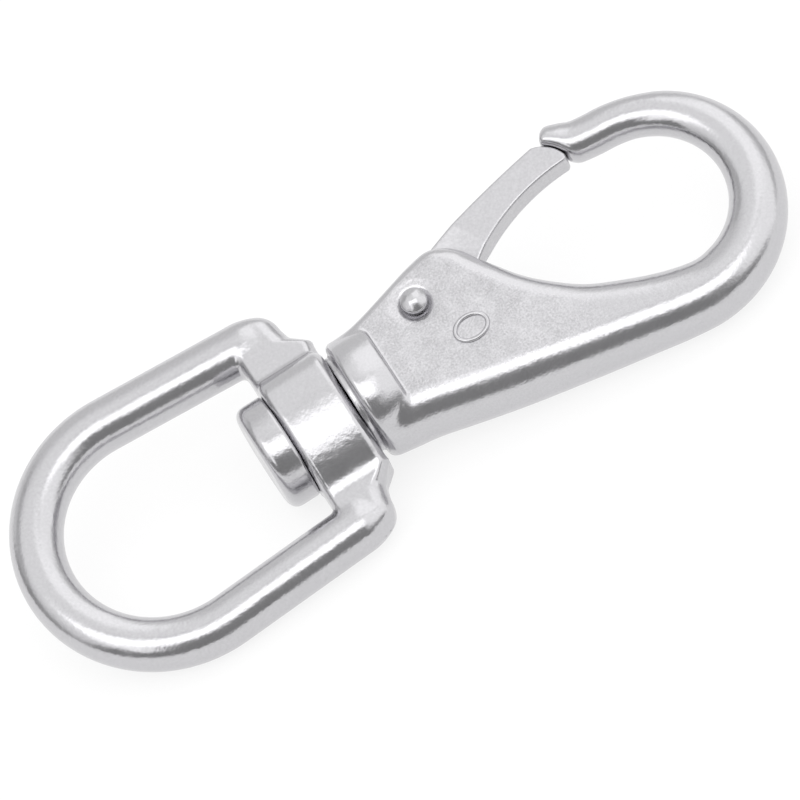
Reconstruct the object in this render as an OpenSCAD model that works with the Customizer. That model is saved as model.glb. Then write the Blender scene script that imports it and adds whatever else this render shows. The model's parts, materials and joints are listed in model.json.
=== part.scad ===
// Swivel eye snap hook, cast in stainless steel and polished.
// The swivel axis runs along X and the gate is on the +Y side.
// The shape is drawn about the swivel axis, with x = 0 inside the eye's boss.
// It is then set down as it comes to rest: on its barrel, and rolled over
// towards -Y until the bend or the eye's leg meets the floor.

/* [Hook] */
// Thickness of the hook over its cheeks
body_t = 6.1; // [5.7:0.1:7.3]
// Diameter of the rod at the foot of the bend
bend_d = 5.2; // [4.8:0.1:5.5]
// Diameter of the rod at the nose
nose_d = 3.3; // [3:0.1:3.6]
// Reach of the bend past its centre, to the middle of the rod
bend_rx = 7.8; // [7.4:0.1:8.8]
// Diameter of the barrel that meets the eye
barrel_d = 9.9; // [9.5:0.1:10.6]

/* [Gate] */
// Thickness of the gate's bar
gate_t = 2.3; // [2:0.1:2.7]
// Thickness of the gate's root between the cheeks
root_t = 1.9; // [1.7:0.1:2]
// Gap between the gate's root and each cheek
gate_gap = 0.1; // [0.05:0.01:0.15]
// How far the gate opens, in degrees
open_deg = 28; // [20:1:28]

/* [Pin] */
// Diameter of the gate pin
pin_d = 2; // [1.6:0.1:2.2]
// Diameter of the pin's domed heads
pin_head_d = 2.3; // [2.2:0.1:2.6]

/* [Spring] */
// Diameter of the spring wire
wire_d = 0.35; // [0.25:0.05:0.4]

/* [Eye] */
// Diameter of the eye's rod
eye_rod_d = 4.15; // [3.8:0.05:4.4]
// Radius of the bow, to the middle of the rod
bow_r = 9.6; // [9.4:0.1:11.5]
// Distance from the boss to the bow's centre
eye_reach = 15.1; // [13:0.1:18]
// Lean of each leg towards the axis, in degrees
leg_lean = 3.6; // [2:0.2:4.4]
// Thickness of the boss at the swivel axis
boss_d = 9.5; // [9:0.1:9.5]

/* [Swivel] */
// Diameter of the stud's shank
shank_d = 4.6; // [4:0.1:5.5]
// Diameter of the stud's head
head_d = 8.7; // [8:0.1:9.2]
// Thickness of the stud's head
head_t = 2.4; // [2:0.1:3]
// Running gap between the shank and the eye, on the radius
swivel_gap = 0.08; // [0.04:0.01:0.1]

/* [Hidden] */
$fn = 64;
steel = [0.80, 0.80, 0.79];
satin = [0.74, 0.74, 0.73];
bright = [0.86, 0.86, 0.85];
cut = 30; // longer than anything that is cut through

// Places along the swivel axis
boss_in = -3.5;
boss_out = 2;
end_play = 0.12;
neck_gap = 0.35;
barrel_in = boss_out + neck_gap;
barrel_out = 5.9;
barrel_r = barrel_d / 2;
barrel_rims = [0.6, 0.5];
head_rims = [0.9, 0.7];
stud_end = barrel_in + 3.6;
bend_x = 29.4;
bend_foot = -7.65;
bend_top = 8.25;
bend_ry = (bend_top - bend_foot) / 2;
bend_c = [bend_x, (bend_top + bend_foot) / 2];
bend_from = -90;
bend_to = 70;
hook_end = bend_c[0] + bend_rx + rod_half(0);
eye_r = eye_rod_d / 2;
eye_end = -eye_reach - bow_r - eye_r;
mid_x = (hook_end + eye_end) / 2;

// The gate's outline: a knuckle round the pin and a bar that ends in a round
// tip, with a concave arch inside and a slight crown outside
pin = [10.1, 3.15];
pin_r = pin_d / 2;
pin_play = 0.06;
seat_depth = 0.35;
seat_rim = 0.1; // flat floor of the seat round the pin's head
seat_flare = 0.75;
pin_rise = 0.95; // height of the head's straight side
pin_dome = 0.45;
pin_ledge = 0.05; // flat ring between the head's side and its dome
knuckle_r = 2.2;
tip = [23.4, 7.2];
tip_r = 2.6;
tip_gap = 0.08;
arch_r = 17;
arch_c = tip + [2.5, -sqrt(arch_r * arch_r - 2.5 * 2.5)];
crown_a = [12.8, 7];
crown_b = [24, 9.75];
crown_r = 88;
crown_half = (crown_b - crown_a) / 2;
crown_c = crown_a + crown_half + sqrt(pow(crown_r, 2) - pow(norm(crown_half), 2))
    * [crown_half[1], -crown_half[0]] / norm(crown_half);
root_r = 6.7;
bevel_r = 7.5;

// The slot between the cheeks
slot_w = root_t + 2 * gate_gap;
slot_r = knuckle_r + 0.35;
under_deg = 26; // slope of the root's underside, parallel to the floor when open
floor_deg = under_deg - open_deg;

// The spring round the pin, in a pocket in the gate's root
wire_r = wire_d / 2;
coil_r = pin_r + 0.12 + wire_r;
coil_pitch = wire_d + 0.03;
leg_a_end = [3.5, -slot_r + wire_r + 0.1];
leg_b_end = [3.8, coil_r + 0.45];
leg_a_deg = atan2(leg_a_end[1], leg_a_end[0]) - acos(coil_r / norm(leg_a_end));
leg_b_deg = atan2(leg_b_end[1], leg_b_end[0]) + acos(coil_r / norm(leg_b_end));
coil_deg = 720 + leg_a_deg - leg_b_deg;
coil_h = coil_pitch * coil_deg / 360 + wire_d;
spring_gap = 0.06;
coil_top = slot_w / 2 - spring_gap;
pocket_floor = coil_top - coil_h - spring_gap;
pocket_r = coil_r + wire_r + 0.15;

// Stations down the hook. Each is the outer point, the inner point, the half
// thickness, the depth of the inner edge's rounding and its power: 1 is round
// and less is squarer.
half_t = body_t / 2;
cheeks = [
    [2.5, -4.65, 2.5, 4, half_t * 0.85, 2, 0.8],
    [3.3, -5.3, 3.3, 4.2, half_t * 0.92, 1.8, 0.7],
    [4.7, -5.52, 4.7, 4.4, half_t * 0.97, 1.7, 0.6],
    [6.4, -5.78, 6.4, 4.8, half_t, 1.6, 0.5],
    [8.6, -6.34, 8.9, 5.55, half_t, 1.6, 0.5],
    [10.6, -6.85, 11, 6.2, half_t, 1.6, 0.5],
    [12.4, -7.28, 12.9, 6.6, half_t, 1.6, 0.5],
    [13.4, -7.5, 14.25, 6.2, half_t, 1.6, 0.5],
    [14.3, -7.7, 15.3, 5.3, half_t, 1.6, 0.5],
    [15.2, -7.88, 16, 4.15, half_t, 1.6, 0.5],
    [16.2, -8.08, 16.9, 2.8, half_t, 1.7, 0.52],
    [17.6, -8.36, 18.2, 0.95, half_t * 0.98, 1.8, 0.58],
    [19.4, -8.72, 19.8, -0.65, half_t * 0.96, 2, 0.68],
    [21.4, -9.09, 21.8, -2.2, half_t * 0.94, 2.3, 0.8],
    [23.9, -9.55, 24.2, -3.35, half_t * 0.91, 2.5, 0.92],
    [26.6, -10.02, 26.9, -4.4, bend_d * 0.515, 2.6, 1]];

// The bend is an oval arc of tapering rod
function rod_half(a) = bend_d / 2 + (nose_d - bend_d) / 2 * (a - bend_from) / (bend_to - bend_from);
function rod_station(c, a, r) = let (out = r * [cos(a), sin(a)])
    [c[0] + out[0], c[1] + out[1], c[0] - out[0], c[1] - out[1], r, r, 1];
bend = [for (a = [bend_from : 16 : bend_to])
    rod_station(bend_c + [bend_rx * cos(a), bend_ry * sin(a)], a, rod_half(a))];

// The nose runs back over the gate's tip, lifting and thickening a little
nose = [
    rod_station([30.2, 8.28], 83, nose_d / 2),
    rod_station([28.5, 8.45], 84, nose_d / 2),
    rod_station([27.2, 8.65], 76, nose_d / 2),
    rod_station([26.3, 8.97], 70, nose_d / 2 * 1.03),
    rod_station([25.3, 9.28], 76, nose_d / 2 * 1.06),
    rod_station([24, 9.45], 83, nose_d / 2 * 1.06)];

// Catmull-Rom curve through a list of stations
function between(p, i, t) =
    let (a = p[max(i - 1, 0)], b = p[i], c = p[i + 1], d = p[min(i + 2, len(p) - 1)])
    0.5 * (2 * b + (c - a) * t + (2 * a - 5 * b + 4 * c - d) * t * t
        + (3 * b - 3 * c + d - a) * t * t * t);
function smooth(p, steps) = concat(
    [for (i = [0 : len(p) - 2], k = [0 : steps - 1]) between(p, i, k / steps)],
    [p[len(p) - 1]]);

function signed_pow(v, e) = sign(v) * pow(abs(v), e);

// Ring of a station: a half round outside and a rounded edge inside
function ring(s, steps = 14) =
    let (
        outer = [s[0], s[1]],
        across = [s[2], s[3]] - outer,
        w = norm(across),
        h = min(s[4], w / 2),
        depth = min(s[5], 0.49 * w),
        outline = concat(
            [for (k = [0 : steps]) let (a = 90 + 180 * k / steps) [h + h * cos(a), h * sin(a)]],
            [for (k = [0 : steps]) let (a = 180 * k / steps - 90)
                [w - depth + depth * signed_pow(cos(a), s[6]), h * signed_pow(sin(a), s[6])]]))
    [for (q = outline) [outer[0] + across[0] * q[0] / w, outer[1] + across[1] * q[0] / w, q[1]]];

// Closed solid through a list of rings
module loft(rings) {
    n = len(rings[0]);
    last = (len(rings) - 1) * n;
    sides = [for (i = [0 : len(rings) - 2], k = [0 : n - 1])
        let (a = i * n + k, b = i * n + (k + 1) % n)
        each [[a, b + n, b], [a, a + n, b + n]]];
    polyhedron([for (r = rings) each r],
        concat([[for (k = [0 : n - 1]) k]], sides, [[for (k = [n - 1 : -1 : 0]) last + k]]));
}

// Sine of the roll at which a station's outer round meets the floor
function roll_at(s) =
    let (w = norm([s[2] - s[0], s[3] - s[1]]), h = min(s[4], w / 2),
        y = s[1] + (s[3] - s[1]) * h / w)
    y < -h ? (barrel_r - h) / -y : 1;
rest_deg = asin(min([for (s = concat(cheeks, bend)) roll_at(s), (barrel_r - eye_r) / bow_r]));

// Puts what is drawn about the swivel axis in its resting place
module rest() {
    translate([-mid_x, 0, barrel_r]) rotate([rest_deg, 0, 0]) children();
}

// Turned disc from x0 to x1 with rounded rims
module rounded_disc(x0, x1, r, rim0, rim1) {
    translate([x0, 0, 0]) rotate([0, 90, 0]) rotate_extrude() {
        square([r - max(rim0, rim1), x1 - x0]);
        translate([0, rim0]) square([r, x1 - x0 - rim0 - rim1]);
        square([r - rim0, rim0]);
        translate([0, x1 - x0 - rim1]) square([r - rim1, rim1]);
        intersection() {
            translate([r - rim0, rim0]) circle(rim0);
            translate([r - rim0, 0]) square(rim0);
        }
        intersection() {
            translate([r - rim1, x1 - x0 - rim1]) circle(rim1);
            translate([r - rim1, x1 - x0 - rim1]) square(rim1);
        }
    }
}

// Flat shape at the gate, centred on the hook's middle plane
module plate(t) {
    linear_extrude(t, center = true) children();
}

module slot_outline() {
    translate(pin) {
        circle(slot_r);
        polygon([
            slot_r * [cos(150), sin(150)],
            slot_r * [sin(floor_deg), -cos(floor_deg)],
            slot_r * [sin(floor_deg), -cos(floor_deg)] + 9 * [cos(floor_deg), sin(floor_deg)],
            [9, 9],
            [-0.6, 9]]);
    }
}

// What the gate's tip and its swing take out of the nose
module seat_outline() {
    reach = norm(tip - pin) + tip_r + tip_gap;
    translate(tip) circle(tip_r + tip_gap);
    intersection() {
        translate(pin) circle(reach);
        translate(tip - [0, 3]) square([5, 3.4]);
    }
    // the slanted outer end of the nose
    translate(tip + [1.35, 2.6]) rotate(57) translate([-6, 0]) square([12, 6]);
}

// Dished seat of the pin's head, flaring out past the cheek's face
module pin_seat() {
    translate([pin[0], pin[1], half_t - seat_depth])
        cylinder(h = 1, r1 = pin_head_d / 2 + seat_rim, r2 = pin_head_d / 2 + seat_rim + seat_flare);
}

module hook_body() {
    color(steel) rest() difference() {
        union() {
            loft([for (s = smooth(concat(cheeks, bend, nose), 3)) ring(s)]);
            rounded_disc(barrel_in, barrel_out, barrel_r, barrel_rims[0], barrel_rims[1]);
        }
        plate(slot_w) slot_outline();
        // the slot's mouth is wide enough for the thick end of the bar
        plate(gate_t + 2 * gate_gap) difference() {
            slot_outline();
            translate(pin) circle(root_r - 0.05);
        }
        plate(cut) seat_outline();
        translate(pin) cylinder(h = cut, d = pin_d, center = true);
        pin_seat();
        mirror([0, 0, 1]) pin_seat();
        translate([barrel_in - 1, 0, 0]) rotate([0, 90, 0])
            cylinder(h = stud_end - barrel_in + 1, d = shank_d);
    }
}

module swivel_stud() {
    shank_from = boss_in - end_play - head_t / 2;
    color(bright) rest() {
        rounded_disc(boss_in - end_play - head_t, boss_in - end_play, head_d / 2, head_rims[0], head_rims[1]);
        translate([shank_from, 0, 0]) rotate([0, 90, 0])
            cylinder(h = stud_end - shank_from, d = shank_d);
    }
}

// Domed rivet head, standing proud of the dished seat of a cheek
module pin_head() {
    base = half_t - seat_depth;
    dome_r = pin_head_d / 2 - pin_ledge;
    ball = (pow(dome_r, 2) + pow(pin_dome, 2)) / (2 * pin_dome);
    translate([0, 0, base]) cylinder(h = pin_rise, d = pin_head_d);
    intersection() {
        translate([0, 0, base + pin_rise + pin_dome - ball]) sphere(ball);
        translate([0, 0, base + pin_rise]) cylinder(h = 2 * pin_dome, d = pin_head_d + 1);
    }
}

module gate_pin() {
    color(bright) rest() translate(pin) {
        cylinder(h = body_t - 2 * seat_depth, d = pin_d, center = true);
        pin_head();
        mirror([0, 0, 1]) pin_head();
    }
}

// Wire round the pin with a leg on the slot's floor and a leg in the gate
function coil_points(steps = 18) =
    let (count = ceil(coil_deg / 360 * steps), low = coil_top - coil_h + wire_r)
    [for (k = [0 : count]) let (a = leg_a_deg - coil_deg * k / count)
        [coil_r * cos(a), coil_r * sin(a), low + coil_pitch * coil_deg / 360 * k / count]];
function wire_route() =
    let (coil = coil_points(), first = coil[0], last = coil[len(coil) - 1])
    concat(
        [for (k = [0 : 3]) [leg_a_end[0], leg_a_end[1], first[2]] * (1 - k / 4) + first * k / 4],
        coil,
        [for (k = [1 : 4]) last * (1 - k / 4) + [leg_b_end[0], leg_b_end[1], last[2]] * k / 4]);
function wire_ring(p, dir, sides = 8) =
    let (side = cross([0, 0, 1], dir) / norm(cross([0, 0, 1], dir)), up = cross(dir, side))
    [for (k = [0 : sides - 1]) let (a = 360 * k / sides) p + wire_r * (side * cos(a) + up * sin(a))];

module gate_spring() {
    route = wire_route();
    end = len(route) - 1;
    color(bright) rest() translate(pin) loft([for (i = [0 : end])
        let (step = route[min(i + 1, end)] - route[max(i - 1, 0)])
        wire_ring(route[i], step / norm(step))]);
}

// The bar between the crown and the arch, with the round tip and the knuckle
module gate_outline() {
    translate(pin) circle(knuckle_r);
    intersection() {
        translate(crown_c) circle(crown_r, $fn = 720);
        union() {
            difference() {
                polygon([
                    pin + knuckle_r * [cos(140), sin(140)],
                    [11.3, 5.9],
                    crown_a,
                    [crown_a[0], 12],
                    [tip[0], 12],
                    [tip[0], 5],
                    pin + knuckle_r * [sin(under_deg), -cos(under_deg)]
                        + 9 * [cos(under_deg), sin(under_deg)],
                    pin + knuckle_r * [sin(under_deg), -cos(under_deg)]]);
                translate(arch_c) circle(arch_r, $fn = 200);
            }
            intersection() {
                translate(tip) circle(tip_r);
                translate(tip) square(tip_r);
            }
        }
    }
}

// Everything nearer the pin than the bevel is thinned to fit the slot
module root_relief() {
    translate([pin[0], pin[1], root_t / 2]) {
        cylinder(h = 2, r = root_r);
        cylinder(h = (gate_t - root_t) / 2, r1 = root_r, r2 = bevel_r);
    }
}

// Room in the root for the spring and its legs
module spring_pocket() {
    translate([pin[0], pin[1], pocket_floor]) linear_extrude(2) {
        circle(pocket_r);
        polygon([
            [-pocket_r, 0],
            [-0.3, coil_r + wire_r + 0.1],
            [leg_b_end[0] + 0.3, leg_b_end[1] + wire_r + 0.1],
            [leg_b_end[0] + 0.3, -4],
            [-pocket_r, -4]]);
    }
}

module gate() {
    color(satin) rest() difference() {
        plate(gate_t) gate_outline();
        root_relief();
        mirror([0, 0, 1]) root_relief();
        spring_pocket();
        translate(pin) cylinder(h = cut, r = pin_r + pin_play, center = true);
    }
}

// Cross bar of the eye: thin at the legs, swelling to the boss. Its face
// towards the hook is flat, then steps back to a round shoulder at each leg.
bow_c = [-eye_reach, 0];
leg_top = bow_c + bow_r * [sin(leg_lean), cos(leg_lean)];
leg_end_x = boss_in + 1;
leg_end = [leg_end_x, leg_top[1] - (leg_end_x - leg_top[0]) * tan(leg_lean)];
leg_y = leg_end[1];
leg_lap = 0.4; // how far each leg runs into the bow, and is just inside its skin
leg_r = eye_r - 0.03;
face_y = leg_y - 2.9; // where the face towards the hook ends
step_y = leg_y - 1.6;
shoulder_y = leg_y - 0.6;
shoulder_r = 2.7;
face_slope = 0.9;
step_slope = 0.25;
swell_y = leg_y - 1.9; // where the boss's swell has died out
function bar_out(y) = boss_out - face_slope * max(0, min(y, step_y) - face_y)
    - step_slope * max(0, min(y, shoulder_y) - step_y)
    - (shoulder_r - sqrt(pow(shoulder_r, 2) - pow(max(0, y - shoulder_y), 2)));
function bar_half(y) = y > leg_y ? eye_r * sqrt(max(0.1, 1 - pow((y - leg_y) / eye_r, 2)))
    : eye_r + (boss_d / 2 - eye_r) * max(0, 1 - pow(y / swell_y, 2));
edge_r = 0.6; // rounding of the bar's edges, growing towards the shoulders
edge_grow = 1.2;
function bar_edge(y) = edge_r + edge_grow * max(0, min(1, (y - face_y) / 2));
// Places of the bar's rings, as a share of its half length
bar_steps = concat([for (k = [0 : 10]) 0.05 * k], [for (k = [1 : 10]) 0.5 + 0.04 * k], [0.93, 0.96, 0.98]);
corner_steps = 6;
function bar_ring(y) =
    let (x1 = bar_out(abs(y)), cx = (boss_in + x1) / 2, hx = (x1 - boss_in) / 2,
        hz = bar_half(abs(y)))
    [for (q = [0 : 3], k = [0 : corner_steps])
        let (a = 90 * q + 90 * k / corner_steps, sx = q == 0 || q == 3 ? 1 : -1, sz = q < 2 ? 1 : -1,
            e = min(sx > 0 ? bar_edge(abs(y)) : edge_r, hz * 0.9, hx * 0.9))
        [cx + sx * (hx - e) + e * cos(a), y, sz * (hz - e) + e * sin(a)]];

module cross_bar() {
    half = leg_y + eye_r;
    places = concat([for (k = [len(bar_steps) - 1 : -1 : 1]) -bar_steps[k] * half],
        [for (k = bar_steps) k * half]);
    loft([for (y = places) bar_ring(-y)]);
}

module swivel_eye() {
    color(steel) rest() difference() {
        union() {
            translate(bow_c) rotate([0, 0, 90 - leg_lean]) rotate_extrude(angle = 180 + 2 * leg_lean)
                translate([bow_r, 0]) circle(eye_r);
            for (side = [0, 1]) mirror([0, side, 0])
                translate(leg_top) rotate([0, 90, -leg_lean]) translate([0, 0, -leg_lap])
                    cylinder(h = norm(leg_end - leg_top) + leg_lap, r = leg_r);
            cross_bar();
        }
        translate([boss_in - 1, 0, 0]) rotate([0, 90, 0])
            cylinder(h = boss_out - boss_in + 2, d = shank_d + 2 * swivel_gap);
    }
}

hook_body();
swivel_stud();
gate_pin();
gate_spring();
gate();
swivel_eye();
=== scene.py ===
# Swivel eye snap hook in polished stainless steel, lying on a pale table.
# Shapes are drawn in millimetres about the swivel axis: x runs along the axis
# towards the bend, y towards the gate and z up through the hook's flat side.
import json
import math
import bpy
import numpy as np
from mathutils import Matrix, Vector


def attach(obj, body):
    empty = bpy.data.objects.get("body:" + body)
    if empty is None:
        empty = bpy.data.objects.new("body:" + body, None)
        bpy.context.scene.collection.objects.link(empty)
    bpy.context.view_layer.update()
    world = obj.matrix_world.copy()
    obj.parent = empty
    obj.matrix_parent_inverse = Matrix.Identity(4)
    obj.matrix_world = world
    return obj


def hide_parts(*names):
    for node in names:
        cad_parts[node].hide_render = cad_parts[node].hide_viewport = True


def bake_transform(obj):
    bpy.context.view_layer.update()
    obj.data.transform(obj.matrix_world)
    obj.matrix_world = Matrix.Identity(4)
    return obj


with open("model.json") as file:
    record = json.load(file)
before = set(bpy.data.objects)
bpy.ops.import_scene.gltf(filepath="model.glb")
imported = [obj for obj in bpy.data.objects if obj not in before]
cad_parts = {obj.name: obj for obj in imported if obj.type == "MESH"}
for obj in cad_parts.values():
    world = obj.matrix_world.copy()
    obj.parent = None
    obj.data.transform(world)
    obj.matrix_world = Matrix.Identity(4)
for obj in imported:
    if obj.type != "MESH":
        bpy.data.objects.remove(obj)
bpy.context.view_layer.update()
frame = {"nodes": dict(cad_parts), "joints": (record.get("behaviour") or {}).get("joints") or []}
print("frame loaded:", ", ".join(sorted(frame["nodes"])))

joints = {joint["name"]: joint for joint in frame["joints"]}

# Sizes that the hook shares with the pieces that fit into it
hookSize = {
    "halfThick": 3.05,      # half the thickness over the cheeks
    "pin": (10.1, 3.15),    # place of the gate pin
    "slotHalf": 1.05,       # half the slot between the cheeks
    "slotR": 2.55,          # round end of the slot, about the pin
    "tip": (23.4, 7.2),     # middle of the gate's round end
    "tipR": 2.6,
}

# The hook lies rolled over on its barrel. The frame's joints say how.
axisX = Vector(joints["swivel"]["axis"]).normalized()
axisZ = Vector(joints["gate_hinge"]["axis"]).normalized()
axisY = axisZ.cross(axisX)
turn = Matrix((axisX, axisY, axisZ)).transposed()
pinAt = Vector((*hookSize["pin"], 0)) / 1000
origin = Vector(joints["gate_hinge"]["pos_m"]) - turn @ pinAt
place = Matrix.Translation(origin) @ turn.to_4x4() @ Matrix.Scale(0.001, 4)


def toRow(x, y, z):
    return place @ Vector((x, y, z))


def fromPin(x, y):
    return x - hookSize["pin"][0], y - hookSize["pin"][1]


def fromTip(x, y):
    return x - hookSize["tip"][0], y - hookSize["tip"][1]


def cosSin(degrees):
    return math.cos(math.radians(degrees)), math.sin(math.radians(degrees))


# The cast pieces are fields: a point's value is below zero inside the metal
# and grows with its distance from the skin.

def blendUnion(a, b, k):
    h = np.clip(0.5 + 0.5 * (b - a) / k, 0, 1)
    return b * (1 - h) + a * h - k * h * (1 - h)


def blendCut(a, b, k):
    return -blendUnion(-a, b, k)


def roundBox(qx, qy, r):
    # qx and qy are how far a point is past each face, r rounds their edge
    qx, qy = qx + r, qy + r
    return np.minimum(np.maximum(qx, qy), 0) + np.hypot(np.maximum(qx, 0), np.maximum(qy, 0)) - r


def aboveLine(px, py, degrees, drop):
    # metal above a sloping line that passes this far under the origin
    c, s = cosSin(degrees)
    return -(-px * s + py * c + drop)


def smoothStep(x, a, b):
    t = np.clip((x - a) / (b - a), 0, 1)
    return t * t * (3 - 2 * t)


def curveThrough(points, steps):
    # Catmull-Rom curve through rows of numbers
    p = np.array(points, float)
    rows = []
    for i in range(len(p) - 1):
        a, b, c, d = p[max(i - 1, 0)], p[i], p[i + 1], p[min(i + 2, len(p) - 1)]
        for t in np.arange(steps) / steps:
            rows.append(0.5 * (2 * b + (c - a) * t + (2 * a - 5 * b + 4 * c - d) * t ** 2
                               + (3 * b - 3 * c + d - a) * t ** 3))
    rows.append(p[-1])
    return np.array(rows)


def alongCurve(line, x, y):
    # signed distance to a polyline, above zero on its left, and how far along it.
    # Its two ends run on straight.
    runOn = 9
    best = np.full(x.shape, 1e9)
    side = np.zeros(x.shape)
    where = np.zeros(x.shape)
    for i in range(len(line) - 1):
        a, d = line[i], line[i + 1] - line[i]
        px, py = x - a[0], y - a[1]
        t = (px * d[0] + py * d[1]) / (d @ d)
        t = np.clip(t, 0 if i else -runOn, 1 if i < len(line) - 2 else runOn)
        dist = np.hypot(px - t * d[0], py - t * d[1])
        near = dist < best
        best = np.where(near, dist, best)
        side = np.where(near, np.sign(d[0] * py - d[1] * px), side)
        where = np.where(near, i + t, where)
    return best * side, where


class FlatMap:
    # values kept on a fine flat grid and read back between its points
    def __init__(self, lo, hi, step):
        self.lo, self.step = np.array(lo, float), step
        self.n = np.ceil((np.array(hi) - lo) / step).astype(int) + 1
        self.x, self.y = np.meshgrid(lo[0] + step * np.arange(self.n[0]),
                                     lo[1] + step * np.arange(self.n[1]), indexing="ij")
        self.maps = {}

    def read(self, name, x, y):
        m = self.maps[name]
        u = np.clip((x - self.lo[0]) / self.step, 0, self.n[0] - 1.001)
        v = np.clip((y - self.lo[1]) / self.step, 0, self.n[1] - 1.001)
        i, j = u.astype(int), v.astype(int)
        u, v = u - i, v - j
        return ((m[i, j] * (1 - v) + m[i, j + 1] * v) * (1 - u)
                + (m[i + 1, j] * (1 - v) + m[i + 1, j + 1] * v) * u)


def softened(m, times):
    # a flat map blurred a little at a time
    for _ in range(times):
        m = np.pad(m, 1, mode="edge")
        m = (m[:-2, 1:-1] + m[2:, 1:-1] + m[1:-1, :-2] + m[1:-1, 2:] + 4 * m[1:-1, 1:-1]) / 8
    return m


def gradient(field, p, e):
    g = np.empty_like(p)
    for k in range(3):
        q, r = p.copy(), p.copy()
        q[:, k] += e
        r[:, k] -= e
        g[:, k] = (field(q[:, 0], q[:, 1], q[:, 2]) - field(r[:, 0], r[:, 1], r[:, 2])) / (2 * e)
    return g


# How a field is skinned
skinRules = {
    "layers": 16,       # grid layers worked out at a time, to save memory
    "probe": 0.25,      # distance for measuring slopes, in grid steps
    "farthest": 3,      # most that a point moves at once, in probes
    "rounds": 3,        # rounds of evening out
    "evening": 0.6,     # share of the way to a point's neighbours in each
}


def ontoSurface(field, p, e, rounds):
    # points moved along the field's slope until they lie on the skin
    for _ in range(rounds):
        g = gradient(field, p, e)
        f = field(p[:, 0], p[:, 1], p[:, 2])
        move = (f / np.maximum((g * g).sum(1), 0.05))[:, None] * g
        size = np.linalg.norm(move, axis=1, keepdims=True)
        p = p - move * np.minimum(1, skinRules["farthest"] * e / np.maximum(size, 1e-9))
    return p


def sampled(field, lo, n, step):
    # the field at every grid point
    layers = skinRules["layers"]
    axes = [lo[k] + step * np.arange(n[k]) for k in range(3)]
    f = np.empty(n)
    for i in range(0, n[0], layers):
        x, y, z = np.meshgrid(axes[0][i:i + layers], axes[1], axes[2], indexing="ij")
        f[i:i + layers] = field(x, y, z)
    return f


def netOf(f):
    # a point in each grid cell that the skin passes, measured in cells, and a
    # quad round each grid edge that it cuts
    n = np.array(f.shape)
    inside = f < 0
    cells = tuple(n - 1)
    total = np.zeros(cells + (3,))
    count = np.zeros(cells)
    quads = []
    for k in range(3):
        cut = [slice(None)] * 3
        cut[k] = slice(0, n[k] - 1)
        nxt = [slice(None)] * 3
        nxt[k] = slice(1, n[k])
        crossed = inside[tuple(cut)] != inside[tuple(nxt)]
        at = np.argwhere(crossed)
        f0, f1 = f[tuple(cut)][crossed], f[tuple(nxt)][crossed]
        point = at.astype(float)
        point[:, k] += f0 / (f0 - f1)
        others = [m for m in range(3) if m != k]
        keep = np.all((at[:, others] > 0) & (at[:, others] < (n - 1)[others]), axis=1)
        at, point, f0 = at[keep], point[keep], f0[keep]
        corners = []
        for a, b in ((0, 0), (1, 0), (1, 1), (0, 1)):
            c = at.copy()
            c[:, others[0]] -= a
            c[:, others[1]] -= b
            np.add.at(total, tuple(c.T), point)
            np.add.at(count, tuple(c.T), 1)
            corners.append(np.ravel_multi_index(tuple(c.T), cells))
        quad = np.stack(corners, 1)
        flip = (f0 < 0) ^ (k == 1)
        quad[flip] = quad[flip][:, ::-1]
        quads.append(quad)
    used = np.flatnonzero(count.ravel())
    index = np.full(count.size, -1)
    index[used] = np.arange(len(used))
    quads = index[np.concatenate(quads)[:, ::-1]]
    return total.reshape(-1, 3)[used] / count.ravel()[used][:, None], quads


def skinOf(name, field, lo, hi, step):
    # the quads of a field's net, pulled onto its skin and evened out
    lo, hi = np.array(lo, float), np.array(hi, float)
    n = np.ceil((hi - lo) / step).astype(int) + 1
    net, quads = netOf(sampled(field, lo, n, step))
    e = step * skinRules["probe"]
    p = ontoSurface(field, lo + step * net, e, 2)
    pairs = np.concatenate([quads[:, [i, (i + 1) % 4]] for i in range(4)])
    degree = np.bincount(pairs.ravel(), minlength=len(p)).astype(float)
    for _ in range(skinRules["rounds"]):
        mean = np.zeros_like(p)
        for k in range(3):
            mean[:, k] = (np.bincount(pairs[:, 0], p[pairs[:, 1], k], len(p))
                          + np.bincount(pairs[:, 1], p[pairs[:, 0], k], len(p))) / degree
        p = ontoSurface(field, p + skinRules["evening"] * (mean - p), e, 1)
    p = ontoSurface(field, p, e, 1)
    return meshPiece(name, p, quads)


def meshPiece(name, points, faces):
    mesh = bpy.data.meshes.new(name)
    corners = [tuple(q) for q in np.asarray(points)]
    mesh.from_pydata(corners, [], [tuple(int(i) for i in q) for q in faces])
    mesh.transform(place)
    mesh.validate()
    mesh.shade_smooth()
    piece = bpy.data.objects.new(name, mesh)
    bpy.context.scene.collection.objects.link(piece)
    return piece


def tubeFaces(rings, sides):
    # quads between rings of points, and a cap at each end
    faces = []
    for i in range(rings - 1):
        for k in range(sides):
            m = (k + 1) % sides
            faces.append((i * sides + k, i * sides + m, (i + 1) * sides + m, (i + 1) * sides + k))
    last = (rings - 1) * sides
    faces.append(tuple(range(sides))[::-1])
    faces.append(tuple(last + k for k in range(sides)))
    return faces


def turned(name, profile, along, at, sides):
    # a turned piece: profile rows are (height, radius), along is "x" or "z"
    rows = []
    for h, r in profile:
        for k in range(sides):
            a = 2 * math.pi * k / sides
            c, s = r * math.cos(a), r * math.sin(a)
            rows.append((at[0] + h, at[1] + c, at[2] + s) if along == "x"
                        else (at[0] + c, at[1] + s, at[2] + h))
    return meshPiece(name, rows, tubeFaces(len(profile), sides))


def roundRim(h0, h1, r, rim, steps=8):
    # profile rows round one rim, from height h0 on the face to radius r
    sign = 1 if h1 > h0 else -1
    return [(h0 + sign * (rim - rim * math.cos(math.pi / 2 * k / steps)),
             r - rim + rim * math.sin(math.pi / 2 * k / steps)) for k in range(steps + 1)]


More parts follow.
